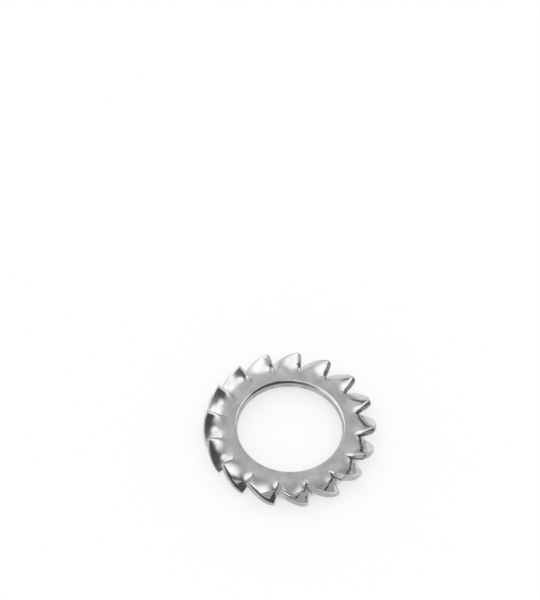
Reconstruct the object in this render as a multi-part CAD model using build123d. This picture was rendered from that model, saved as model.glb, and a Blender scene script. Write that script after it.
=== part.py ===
from build123d import *
import math
import os

# Toothed lock washer with external teeth, stamped in one piece from spring-steel strip.
# Radial slits part the teeth, and each tooth is twisted about its own radial centre line,
# so that one end of its rim stands above the ring and the other end below it.
# The origin is on the washer's axis, halfway through the sheet, and Z is that axis.

# Driving dimensions, in millimetres and degrees.
bore_diameter = 10.7
outer_diameter = 17.6        # over the middles of the teeth
sheet_thickness = 0.9
tooth_count = 16

bend_distance = 6.6          # from the axis to the straight line where a tooth starts to twist
swing_radius = 5.15          # of the circle in the ring that the twisted tips swing about
slit_width = 0.1             # in the flat blank, before the teeth are twisted

tip_twist = 46.0             # turn of a tooth about its centre line, reached at the rim
tip_lift = 0.13              # rise of a tooth's centre line above the ring, at the rim
tip_flare = 0.23             # how far twisting draws each side of a tooth outwards, at the rim

upper_edge_bevel = 0.25      # die roll and tumbling on the upper edges of the teeth
lower_edge_bevel = 0.25      # tumbling on their lower edges
bore_edge_bevel = 0.15       # tumbling on the upper rim of the bore

# Construction values.
sections_per_tooth = 5
trim_allowance = 0.2         # each tooth is drawn this much too long, then its tip is cut

outer_radius = outer_diameter / 2
half_pitch = 180 / tooth_count


def twist_share(x):
    """From 0 where the twist starts to 1 at the rim, easing in and out."""
    along = min((x - bend_distance) / (outer_radius - bend_distance), 1)
    return along * along * (3 - 2 * along)


def tooth_half_width(x):
    """Half the width of a tooth at distance x from the axis: it is cut beside a slit of even
    width, and drawn wider as it is twisted."""
    angle = math.radians(half_pitch)
    blank = x * math.tan(angle) - slit_width / 2 / math.cos(angle)
    return blank + tip_flare * twist_share(x)


def tooth_section(x):
    """The sheet's section across one tooth at distance x from the axis, lifted and turned."""
    share = twist_share(x)
    plane = Plane(origin=(x, 0, tip_lift * share), x_dir=(0, 1, 0), z_dir=(1, 0, 0))
    section = Rectangle(2 * tooth_half_width(x), sheet_thickness)
    return plane * Rot(0, 0, -tip_twist * share) * section


def twisted_strip():
    """A tooth with square edges, drawn a little past the rim."""
    step = (outer_radius + trim_allowance - bend_distance) / (sections_per_tooth - 1)
    return loft([tooth_section(bend_distance + step * i) for i in range(sections_per_tooth)])


def tip_envelope():
    """The tips swing about a circle in the ring, so they end on a larger ring of round
    section about it, and a tooth is shorter at its corners than along its middle."""
    swing = Plane.XZ * Pos(-swing_radius, 0) * Circle(outer_radius - swing_radius)
    return revolve(swing, Axis.Z)


def tumbled_tooth():
    """A whole tooth, with bevels for its worn edges. The edge across its inner end stays
    sharp, as that end is joined to the ring."""
    tooth = twisted_strip() & tip_envelope()
    upper_face = tooth.faces().sort_by(lambda face: face.normal_at().Z)[-1]
    tooth = chamfer(upper_face.edges().sort_by(Axis.X)[1:], upper_edge_bevel)
    lower_face = tooth.faces().sort_by(lambda face: face.normal_at().Z)[0]
    return chamfer(lower_face.edges().sort_by(Axis.X)[1:], lower_edge_bevel)


def ring():
    """The flat ring, as far out as the slits reach, with the bore's upper rim bevelled."""
    outline = RegularPolygon(bend_distance, tooth_count, major_radius=False, rotation=half_pitch)
    blank = extrude(outline - Circle(bore_diameter / 2), sheet_thickness / 2, both=True)
    upper_rim = blank.edges().filter_by(GeomType.CIRCLE).sort_by(Axis.Z)[-1]
    return chamfer(upper_rim, bore_edge_bevel)


def lock_washer():
    tooth = tumbled_tooth()
    return ring() + [Rot(0, 0, 2 * half_pitch * i) * tooth for i in range(tooth_count)]


os.makedirs("parts", exist_ok=True)
export_step(lock_washer(), "parts/lock_washer.step")
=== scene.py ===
import bmesh
import bpy
import math
import numpy as np
from collections import namedtuple
from mathutils import Matrix, Vector

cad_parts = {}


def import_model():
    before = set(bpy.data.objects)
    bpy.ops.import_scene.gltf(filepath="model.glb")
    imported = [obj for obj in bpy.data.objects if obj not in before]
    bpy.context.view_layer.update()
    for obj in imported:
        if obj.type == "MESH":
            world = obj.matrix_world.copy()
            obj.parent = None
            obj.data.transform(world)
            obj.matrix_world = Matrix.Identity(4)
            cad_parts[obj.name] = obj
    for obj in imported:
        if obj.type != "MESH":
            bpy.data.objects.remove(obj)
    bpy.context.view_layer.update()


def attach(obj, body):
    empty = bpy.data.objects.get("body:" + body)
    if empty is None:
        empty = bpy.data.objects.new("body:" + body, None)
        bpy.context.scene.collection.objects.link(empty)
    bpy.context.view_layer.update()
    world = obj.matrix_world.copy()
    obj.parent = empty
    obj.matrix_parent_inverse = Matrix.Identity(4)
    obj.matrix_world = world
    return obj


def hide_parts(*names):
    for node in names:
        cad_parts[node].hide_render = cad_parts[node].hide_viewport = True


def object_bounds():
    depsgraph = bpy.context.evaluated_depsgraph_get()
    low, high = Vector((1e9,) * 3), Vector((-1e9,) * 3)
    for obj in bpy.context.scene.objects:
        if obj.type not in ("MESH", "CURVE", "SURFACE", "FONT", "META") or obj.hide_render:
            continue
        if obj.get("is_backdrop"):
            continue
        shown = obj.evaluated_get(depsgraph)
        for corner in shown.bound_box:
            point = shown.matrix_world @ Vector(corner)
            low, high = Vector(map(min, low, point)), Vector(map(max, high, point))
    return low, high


# Toothed lock washer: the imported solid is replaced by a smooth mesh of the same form, with
# rolled and tumbled edges, in bright nickel plate, and set in a white studio.

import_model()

MM = 0.001

# The washer, in millimetres, as in the part's own source.
TOOTH_COUNT = 16
BORE_RADIUS = 5.35
OUTER_RADIUS = 8.8           # over the middles of the teeth
SHEET = 0.9
BEND = 6.6                   # from the axis to the line where a tooth starts to twist
SWING_RADIUS = 5.15          # of the circle in the ring that the tips swing about
SLIT_WIDTH = 0.1

# The twist of the teeth, in millimetres and degrees. The ring follows it a little way inside
# the bend, so that a tooth runs into the ring without a crease.
TWIST_START = 6.1            # from the axis to where the ring starts to follow the twist
TWIST_SLANT = 0.12           # how much sooner that is on the raised side, for each mm across
TWIST_RELEASE = 0.9          # length past a slit's root over which a tooth's sides come free
TWIST_HOLD = 5.0             # how near the slits' lines the ring still follows: more is nearer
TIP_TWIST = 43.8             # turn of a tooth about its centre line, reached at the rim
TIP_LIFT = 0.06              # rise of that line at the rim
TIP_FLARE = 0.24             # how far each side of a tooth is drawn outwards at the rim

# Rounding of the edges, in millimetres: how far in it reaches, and how far down.
Rounding = namedtuple("Rounding", "reach depth")
TOOTH_TOP = Rounding(reach=0.30, depth=0.15)
TOOTH_FOOT = Rounding(reach=0.50, depth=0.46)
BORE_TOP = Rounding(reach=0.27, depth=0.32)
BORE_FOOT = Rounding(reach=0.09, depth=0.09)
BORE_FULLNESS = 1.4          # how full the bore's are: 2 is an ellipse, and 1 a plain bevel
CORNER = 6.0                 # how square a tooth's corners stay: 2 is a ball, and more is sharper
ROOT_EASE = 0.45             # length over which the rounding fades in along a slit
SLIT_CLOSE = 0.12            # length over which a slit narrows to nothing at its root

# Mesh fineness, in steps.
EDGE_STEPS = 8               # over a rounded edge
ACROSS_STEPS = 22            # across a tooth, between its roundings
ALONG_STEPS = 20             # along a tooth, from the bend to its rounding
RING_STEPS = 14              # from the bore's rounding to the bend
WALL_STEPS = 5               # down a cut face
WELD = 1e-7                  # points of two grids that are closer, in metres, become one

# The search for the rim of a tooth.
SEARCH_PAST = 0.6            # how far past the outer radius it starts, in millimetres
HALVINGS = 40
SURVEY_POINTS = 201          # across a tooth, to find how its rim slants

# The finish. A noise has its features per millimetre, and how much finer detail it adds.
WAVES = (0.42, 1.0)                      # broad unevenness, left by rolling and tumbling
HAZE = (1.0, 1.5)                        # in brightness and roughness
GRAIN = (12.0, 2.0)                      # of the plate
SCORES = (8.0, 3.0)                      # on the cut faces
SCORE_STRETCH = (1.0, 1.0, 0.12)         # draws them out along Z
WAVE_DEPTH = 0.10                        # depths of the relief, in millimetres
GRAIN_DEPTH = 0.0003
SCORE_DEPTH = 0.002
ROUGH_SPAN = (0.35, 0.65)                # values of a noise between which the roughness changes
SHEET_ROUGHNESS = (0.05, 0.13)
CUT_ROUGHNESS = (0.28, 0.50)
SHINE_SPAN = (0.3, 0.7)                  # values of the haze between which the shine changes
SHINE = (0.53, 0.67)
CUT_DULLNESS = 0.14                      # how much less the cut faces shine
CUT = "cut"                              # attribute: 1 on the cut faces, 0 on the sheet's own

HALF_PITCH = math.pi / TOOTH_COUNT
UPPER = 1
LOWER = -1
CUT_REACH = {UPPER: 6.0, LOWER: 2.0}     # more keeps the cut's finish nearer to the cut


def ease(share):
    """From 0 to 1 as the share does, starting and ending gently."""
    share = np.clip(share, 0, 1)
    return share * share * (3 - 2 * share)


def half_width(x):
    """Half the width of a tooth at distance x from the axis."""
    opening = np.clip((x - BEND) / SLIT_CLOSE, 0, 1)
    slit = SLIT_WIDTH / 2 / math.cos(HALF_PITCH) * opening
    flare = TIP_FLARE * ease((x - BEND) / (OUTER_RADIUS - BEND))
    return x * math.tan(HALF_PITCH) - slit + flare


def twist_share(x, y):
    """The share of its twist that the sheet has at a point, y across the tooth."""
    length = OUTER_RADIUS - TWIST_START
    slant = TWIST_SLANT * y * np.clip((OUTER_RADIUS - x) / length, 0, 1)
    held = 1 - ease((x - BEND) / TWIST_RELEASE)
    side = np.clip(np.abs(y) / (x * math.tan(HALF_PITCH)), 0, 1)
    return ease((x - TWIST_START - slant) / length) * (1 - held * side ** TWIST_HOLD)


def sheet_point(x, y, height):
    """A point of the twisted sheet: y across the tooth, height above the sheet's middle."""
    share = twist_share(x, y)
    turn = np.radians(TIP_TWIST) * share
    across = y * np.cos(turn) + height * np.sin(turn)
    up = TIP_LIFT * share - y * np.sin(turn) + height * np.cos(turn)
    return np.stack([x, across, up], -1)


def rim_distance(side, height):
    """How far from the axis a tooth ends, at a share of its half width and a height in the sheet:
    it ends where it leaves the ring of round section that its tip swings about."""
    near = np.full(np.shape(side), BEND)
    far = np.full(np.shape(side), OUTER_RADIUS + SEARCH_PAST)
    for _ in range(HALVINGS):
        middle = (near + far) / 2
        point = sheet_point(middle, side * half_width(middle), height)
        from_circle = np.hypot(point[..., 0], point[..., 1]) - SWING_RADIUS
        outside = np.hypot(from_circle, point[..., 2]) > OUTER_RADIUS - SWING_RADIUS
        near = np.where(outside, near, middle)
        far = np.where(outside, middle, far)
    return (near + far) / 2


def round_corner(nearness, other):
    """Nearness to one edge, drawn back where the other edge is near, so that the corner between
    them is rounded."""
    return nearness * (1 - other ** CORNER / 2) ** (1 / CORNER)


def tooth_rows(face, rounding):
    """One face of a tooth, in rows from the bend to the tip: x, y, the height in the sheet, and
    how far into the rounding each point is, from 0 to 1 at the edge."""
    to_edge = np.sin(np.linspace(0, math.pi / 2, EDGE_STEPS + 1))
    strip = np.ones(EDGE_STEPS + 1)
    between = np.linspace(-1, 1, ACROSS_STEPS + 1)[1:-1]
    before = np.linspace(0, 1, ALONG_STEPS + 1)[:-1, None]
    across = np.concatenate([-strip, between, strip])
    side = np.concatenate([-strip, 0 * between, strip])
    along = np.concatenate([before, strip[:, None]])
    near_side = np.concatenate([to_edge[::-1], 0 * between, to_edge])
    near_tip = np.concatenate([0 * before, to_edge[:, None]])
    into_side = round_corner(near_side, near_tip)
    into_tip = round_corner(near_tip, near_side)
    outward = rounding.reach * side * into_side

    tip_half = half_width(OUTER_RADIUS - rounding.reach)
    share = (across * (tip_half - rounding.reach) + outward) / tip_half
    edge_height = face * (SHEET / 2 - rounding.depth)
    survey = np.linspace(-1, 1, SURVEY_POINTS)
    slope = np.gradient(rim_distance(survey, edge_height), survey * tip_half)
    tip_reach = rounding.reach * np.hypot(1, np.interp(share, survey, slope))
    start = rim_distance(share, edge_height) - tip_reach
    x = BEND + (start - BEND) * along + tip_reach * into_tip
    y = across * (half_width(x) - rounding.reach) + outward

    into_side = into_side * ease((x - BEND) / ROOT_EASE)
    roundness = np.clip((into_side ** CORNER + into_tip ** CORNER) ** (1 / CORNER), 0, 1)
    height = face * (SHEET / 2 - rounding.depth * (1 - np.sqrt(1 - roundness ** 2)))
    return x, y, height, roundness


def ring_rows(face, rounding, x, y):
    """One face of the ring, in rows from the bore to the tooth's first row, which is at x, y:
    the points, and how far into the rounding each is."""
    bend_radius = np.hypot(x, y)
    bearing = np.arctan2(y, x)
    columns = np.ones(len(x))
    turn = np.linspace(0, math.pi / 2, EDGE_STEPS + 1)[:-1, None]
    out = np.linspace(0, 1, RING_STEPS + 1)[:-1, None]
    inward = rounding.reach * (1 - np.cos(turn) ** (2 / BORE_FULLNESS))
    down = rounding.depth * (1 - np.sin(turn) ** (2 / BORE_FULLNESS))
    flat = (BORE_RADIUS + rounding.reach) * (1 - out) + bend_radius * out
    radius = np.concatenate([(BORE_RADIUS + inward) * columns, flat])
    level = np.concatenate([(SHEET / 2 - down) * columns, np.full(flat.shape, SHEET / 2)])
    roundness = np.concatenate([np.cos(turn) * columns, np.zeros(flat.shape)])
    points = sheet_point(radius * np.cos(bearing), radius * np.sin(bearing), face * level)
    return points, roundness


def face_grid(face, tooth_rounding, bore_rounding):
    """One face of a tooth and its piece of ring: rows of points from the bore to the tip, the
    share of a cut face's finish that each has, and the number of the tooth's first row."""
    x, y, height, tooth_roundness = tooth_rows(face, tooth_rounding)
    ring, ring_roundness = ring_rows(face, bore_rounding, x[0], y[0])
    points = np.concatenate([ring, sheet_point(x, y, height)])
    cut = np.concatenate([ring_roundness, tooth_roundness]) ** CUT_REACH[face]
    return points, cut, len(ring)


def sector_grids():
    """The faces of one tooth and its piece of ring: (points, cut share, winding reversed)."""
    top, top_cut, first = face_grid(UPPER, TOOTH_TOP, BORE_TOP)
    foot, foot_cut, _ = face_grid(LOWER, TOOTH_FOOT, BORE_FOOT)
    drop = np.linspace(0, 1, WALL_STEPS + 1)[:, None, None]

    def wall(upper, lower, reverse):
        points = upper * (1 - drop) + lower * drop
        return points, np.ones(points.shape[:2]), reverse

    return [(top, top_cut, False),
            (foot, foot_cut, True),
            wall(top[first:, 0], foot[first:, 0], False),
            wall(top[first:, -1], foot[first:, -1], True),
            wall(top[-1], foot[-1], False),
            wall(top[0], foot[0], True)]


def grid_faces(rows, columns, start, reverse):
    """The quads of a grid whose points are numbered from start, row by row."""
    row, column = np.meshgrid(np.arange(rows - 1), np.arange(columns - 1), indexing="ij")
    corner = start + row * columns + column
    quads = np.stack([corner, corner + columns, corner + columns + 1, corner + 1], -1)
    quads = quads.reshape(-1, 4)
    return quads[:, ::-1] if reverse else quads


def washer_mesh():
    """The grids of one tooth, repeated round the axis. They aren't joined yet."""
    points = []
    faces = []
    cuts = []
    count = 0
    grids = sector_grids()
    for tooth in range(TOOTH_COUNT):
        turn = np.array(Matrix.Rotation(2 * HALF_PITCH * tooth, 3, "Z"))
        for grid, cut, reverse in grids:
            rows, columns = grid.shape[:2]
            points.append(grid.reshape(-1, 3) @ turn.T * MM)
            faces.append(grid_faces(rows, columns, count, reverse))
            cuts.append(cut.ravel())
            count += rows * columns
    mesh = bpy.data.meshes.new("washer_body")
    mesh.from_pydata(np.concatenate(points).tolist(), [], np.concatenate(faces).tolist())
    mesh.attributes.new(CUT, "FLOAT", "POINT").data.foreach_set("value", np.concatenate(cuts))
    return mesh


def washer():
    """The washer as one closed mesh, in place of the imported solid."""
    mesh = washer_mesh()
    work = bmesh.new()
    work.from_mesh(mesh)
    bmesh.ops.remove_doubles(work, verts=work.verts, dist=WELD)
    work.to_mesh(mesh)
    work.free()
    mesh.shade_smooth()
    mesh.materials.append(nickel())
    obj = bpy.data.objects.new("washer_body", mesh)
    bpy.context.scene.collection.objects.link(obj)
    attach(obj, "root")
    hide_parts("lock_washer")


def add(tree, kind, *inputs, **settings):
    """A new node. Its inputs, in the node's own order, are numbers or other nodes' outputs."""
    node = tree.nodes.new(kind)
    for name, value in settings.items():
        setattr(node, name, value)
    for socket, value in zip(node.inputs, inputs):
        if isinstance(value, bpy.types.NodeSocket):
            tree.links.new(value, socket)
        elif value is not None:
            socket.default_value = value
    return node


def calc(tree, operation, *inputs):
    """The result of a Math node."""
    return add(tree, "ShaderNodeMath", *inputs, operation=operation).outputs[0]


def spread(tree, value, low, high, to_low, to_high):
    """The value, taken from the span low..high to the span to_low..to_high and kept inside it."""
    return add(tree, "ShaderNodeMapRange", value, low, high, to_low, to_high).outputs[0]


def noise(tree, place, per_mm, detail):
    """Soft noise from 0 to 1, with so many features per millimetre."""
    return add(tree, "ShaderNodeTexNoise", place, None, per_mm / MM, detail).outputs["Fac"]


def nickel():
    """Bright plate: soft waves left by rolling and tumbling, a fine haze, and scored cut faces."""
    material = bpy.data.materials.new("bright_nickel")
    material.use_nodes = True
    tree = material.node_tree
    shader = tree.nodes["Principled BSDF"]
    place = add(tree, "ShaderNodeTexCoord").outputs["Object"]
    cut = add(tree, "ShaderNodeAttribute", attribute_name=CUT).outputs["Fac"]

    waves = noise(tree, place, *WAVES)
    haze = noise(tree, place, *HAZE)
    grain = noise(tree, place, *GRAIN)
    drawn_out = add(tree, "ShaderNodeVectorMath", place, SCORE_STRETCH, operation="MULTIPLY")
    scores = noise(tree, drawn_out.outputs[0], *SCORES)

    sheet_rough = spread(tree, haze, *ROUGH_SPAN, *SHEET_ROUGHNESS)
    cut_rough = spread(tree, scores, *ROUGH_SPAN, *CUT_ROUGHNESS)
    rough = add(tree, "ShaderNodeMix", cut, None, sheet_rough, cut_rough).outputs[0]
    tree.links.new(rough, shader.inputs["Roughness"])

    sheet_shine = spread(tree, haze, *SHINE_SPAN, *SHINE)
    shine = calc(tree, "SUBTRACT", sheet_shine, calc(tree, "MULTIPLY", cut, CUT_DULLNESS))
    colour = add(tree, "ShaderNodeCombineColor", shine, shine, shine).outputs[0]
    tree.links.new(colour, shader.inputs["Base Color"])
    shader.inputs["Metallic"].default_value = 1.0

    scored = calc(tree, "MULTIPLY", scores, cut)
    relief = None
    for height, depth in ((waves, WAVE_DEPTH), (grain, GRAIN_DEPTH), (scored, SCORE_DEPTH)):
        relief = add(tree, "ShaderNodeBump", 1.0, depth * MM, None, height, relief).outputs[0]
    tree.links.new(relief, shader.inputs["Normal"])
    return material


# The camera, as found from the photograph. Its frame is in pixels, its angles in degrees, and
# its distance and sensor in millimetres.
FRAME_WIDTH = 540
FRAME_HEIGHT = 600
WASHER_AT = (289.75, 427.46)             # where the washer's middle is in the frame
AZIMUTH = -3.53                          # 0 looks along +Y
ELEVATION = 56.23
CAMERA_ROLL = 2.13
DISTANCE = 130.0
PIXELS_PER_MM = 9.834                    # at the washer
SENSOR = 36.0
CLIP_START = 0.001                       # metres
CLIP_END = 10.0


def camera():
    """The camera stands where the photograph's did. The washer is off its axis, as it was there."""
    azimuth = math.radians(AZIMUTH)
    elevation = math.radians(ELEVATION)
    roll = math.radians(CAMERA_ROLL)
    back = Vector((math.sin(azimuth) * math.cos(elevation),
                   -math.cos(azimuth) * math.cos(elevation),
                   math.sin(elevation)))
    right = Vector((math.cos(azimuth), math.sin(azimuth), 0))
    up = back.cross(right)
    rolled_right = right * math.cos(roll) + up * math.sin(roll)
    rolled_up = up * math.cos(roll) - right * math.sin(roll)
    looking = Matrix((rolled_right, rolled_up, back)).transposed()
    focal = DISTANCE * PIXELS_PER_MM
    to_washer = Vector((WASHER_AT[0] - FRAME_WIDTH / 2, FRAME_HEIGHT / 2 - WASHER_AT[1], -focal))
    swing = Vector((0, 0, -1)).rotation_difference(to_washer).to_matrix()
    data = bpy.data.cameras.new("camera")
    data.sensor_width = SENSOR
    data.lens = focal * SENSOR / FRAME_HEIGHT
    data.clip_start = CLIP_START
    data.clip_end = CLIP_END
    obj = bpy.data.objects.new("camera", data)
    place = back * (DISTANCE * MM * to_washer.length / focal)
    obj.matrix_world = Matrix.Translation(place) @ (looking @ swing.transposed()).to_4x4()
    bpy.context.scene.collection.objects.link(obj)
    bpy.context.scene.camera = obj


# The floor. Part of its white is lit and takes the washer's shadow, and the rest is its own glow.
# Under the ring the glow fades out, past the bore's radius and inside the outer one: a painted
# shadow.
FLOOR_HALF = 2.0                         # half its side, in metres
FLOOR_LIT = 0.35                         # the lit part
FADE_PAST_BORE = (0.5, 1.2)              # where the painted shadow's fade starts and ends, in millimetres
FADE_INSIDE_RIM = (1.0, 2.1)


def floor():
    """A white sheet under the washer's lowest point."""
    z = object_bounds()[0].z
    signs = ((-1, -1), (1, -1), (1, 1), (-1, 1))
    corners = [(FLOOR_HALF * x, FLOOR_HALF * y, z) for x, y in signs]
    mesh = bpy.data.meshes.new("floor")
    mesh.from_pydata(corners, [], [(0, 1, 2, 3)])
    obj = bpy.data.objects.new("floor", mesh)
    bpy.context.scene.collection.objects.link(obj)
    material = bpy.data.materials.new("white_floor")
    material.use_nodes = True
    tree = material.node_tree
    paper = add(tree, "ShaderNodeBsdfDiffuse", (FLOOR_LIT, FLOOR_LIT, FLOOR_LIT, 1)).outputs[0]
    seen = calc(tree, "MULTIPLY", seen_directly(tree), 1 - FLOOR_LIT)
    # Under the ring the glow is taken away: a painted shadow on the floor.
    clear_of_painted_shadow = calc(tree, "SUBTRACT", 1.0, painted_shadow_under_ring(tree))
    strength = calc(tree, "MULTIPLY", seen, clear_of_painted_shadow)
    glow = add(tree, "ShaderNodeEmission", None, strength).outputs[0]
    both = add(tree, "ShaderNodeAddShader", paper, glow).outputs[0]
    tree.links.new(both, tree.nodes["Material Output"].inputs["Surface"])
    mesh.materials.append(material)
    obj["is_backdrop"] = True


def painted_shadow_under_ring(tree):
    """Painted shadow: 1 on the floor under the ring, where the glow is taken away, and 0 clear of
    it.
    """
    place = add(tree, "ShaderNodeTexCoord").outputs["Object"]
    flat = add(tree, "ShaderNodeVectorMath", place, (1, 1, 0), operation="MULTIPLY").outputs[0]
    radius = add(tree, "ShaderNodeVectorMath", flat, operation="LENGTH").outputs["Value"]
    from_bore = [(BORE_RADIUS + past) * MM for past in FADE_PAST_BORE]
    from_rim = [(OUTER_RADIUS - inside) * MM for inside in FADE_INSIDE_RIM]
    past_bore = spread(tree, radius, *from_bore, 0.0, 1.0)
    inside_rim = spread(tree, radius, *from_rim, 0.0, 1.0)
    return calc(tree, "MULTIPLY", past_bore, inside_rim)


def seen_directly(tree):
    """1 for the camera's rays and for what metal or glass shows of them."""
    path = add(tree, "ShaderNodeLightPath").outputs
    either = calc(tree, "MAXIMUM", path["Is Camera Ray"], path["Is Glossy Ray"])
    return calc(tree, "MAXIMUM", either, path["Is Transmission Ray"])


# The studio that bright metal mirrors: a grey dome, and cards hung in it. A card's middle has a
# bearing, where 0 is +Y and 90 is +X, and an angle from overhead. Its half width and half height
# are angles too, all in degrees. Soft is how far its edge fades each way, as a share of its half
# size, and bright is its brightness, where 1 is white.
DOME_TOP = 0.37
DOME_RIM = 0.53
Card = namedtuple("Card", "name bearing overhead wide high soft bright")
CARDS = (
    Card("softbox", bearing=-90, overhead=48, wide=49, high=44, soft=0.45, bright=1.60),
    Card("ceiling_strip", bearing=-154, overhead=60, wide=54, high=10, soft=0.15, bright=0.84),
    Card("dark_front", bearing=195, overhead=80, wide=30, high=60, soft=0.50, bright=0.20),
    Card("dark_right", bearing=144, overhead=64, wide=36, high=38, soft=0.30, bright=0.12),
    Card("lamp_right", bearing=86, overhead=79, wide=24, high=40, soft=0.85, bright=1.80),
    Card("far_wall", bearing=3, overhead=50, wide=28, high=41, soft=0.70, bright=0.61),
    Card("low_wall", bearing=118, overhead=86, wide=47, high=20, soft=0.16, bright=0.50),
    Card("far_glow", bearing=-10, overhead=63, wide=20, high=28, soft=0.75, bright=0.77),
    Card("dark_corner", bearing=143, overhead=64, wide=44, high=21, soft=0.27, bright=0.10),
    Card("overhead_lamp", bearing=-142, overhead=20, wide=20, high=14, soft=0.45, bright=1.50),
)


def card_cover(tree, direction, card):
    """1 where a direction meets the card, fading to 0 at its edge."""
    bearing = math.radians(card.bearing)
    overhead = math.radians(card.overhead)
    middle = Vector((math.sin(bearing) * math.sin(overhead),
                     math.cos(bearing) * math.sin(overhead),
                     math.cos(overhead)))
    across = Vector((math.cos(bearing), -math.sin(bearing), 0))
    upward = middle.cross(across)

    def along(axis):
        node = add(tree, "ShaderNodeVectorMath", direction, axis, operation="DOT_PRODUCT")
        return node.outputs["Value"]

    wide = along(across / math.sin(math.radians(card.wide)))
    high = along(upward / math.sin(math.radians(card.high)))
    wide_squared = calc(tree, "MULTIPLY", wide, wide)
    high_squared = calc(tree, "MULTIPLY", high, high)
    from_middle = calc(tree, "SQRT", calc(tree, "ADD", wide_squared, high_squared))
    cover = add(tree, "ShaderNodeMapRange", from_middle, 1 + card.soft, 1 - card.soft,
                interpolation_type="SMOOTHSTEP").outputs[0]
    in_front = calc(tree, "GREATER_THAN", along(middle), 0.0)
    return calc(tree, "MULTIPLY", cover, in_front)


def world():
    """Plain white light on everything, and the studio for what the metal mirrors."""
    scene = bpy.context.scene
    scene.view_settings.view_transform = "Standard"
    scene.world = bpy.data.worlds.new("studio")
    scene.world.use_nodes = True
    tree = scene.world.node_tree
    direction = add(tree, "ShaderNodeTexCoord").outputs["Generated"]
    height = add(tree, "ShaderNodeSeparateXYZ", direction).outputs["Z"]
    studio = spread(tree, height, 0.0, 1.0, DOME_RIM, DOME_TOP)
    for card in CARDS:
        cover = card_cover(tree, direction, card)
        hung = add(tree, "ShaderNodeMix", cover, None, studio, card.bright, label=card.name)
        studio = hung.outputs[0]
    mirrored = add(tree, "ShaderNodeLightPath").outputs["Is Glossy Ray"]
    light = add(tree, "ShaderNodeMix", mirrored, None, 1.0, studio).outputs[0]
    background = tree.nodes["Background"]
    background.inputs["Color"].default_value = (1, 1, 1, 1)
    tree.links.new(light, background.inputs["Strength"])


washer()
camera()
floor()
world()
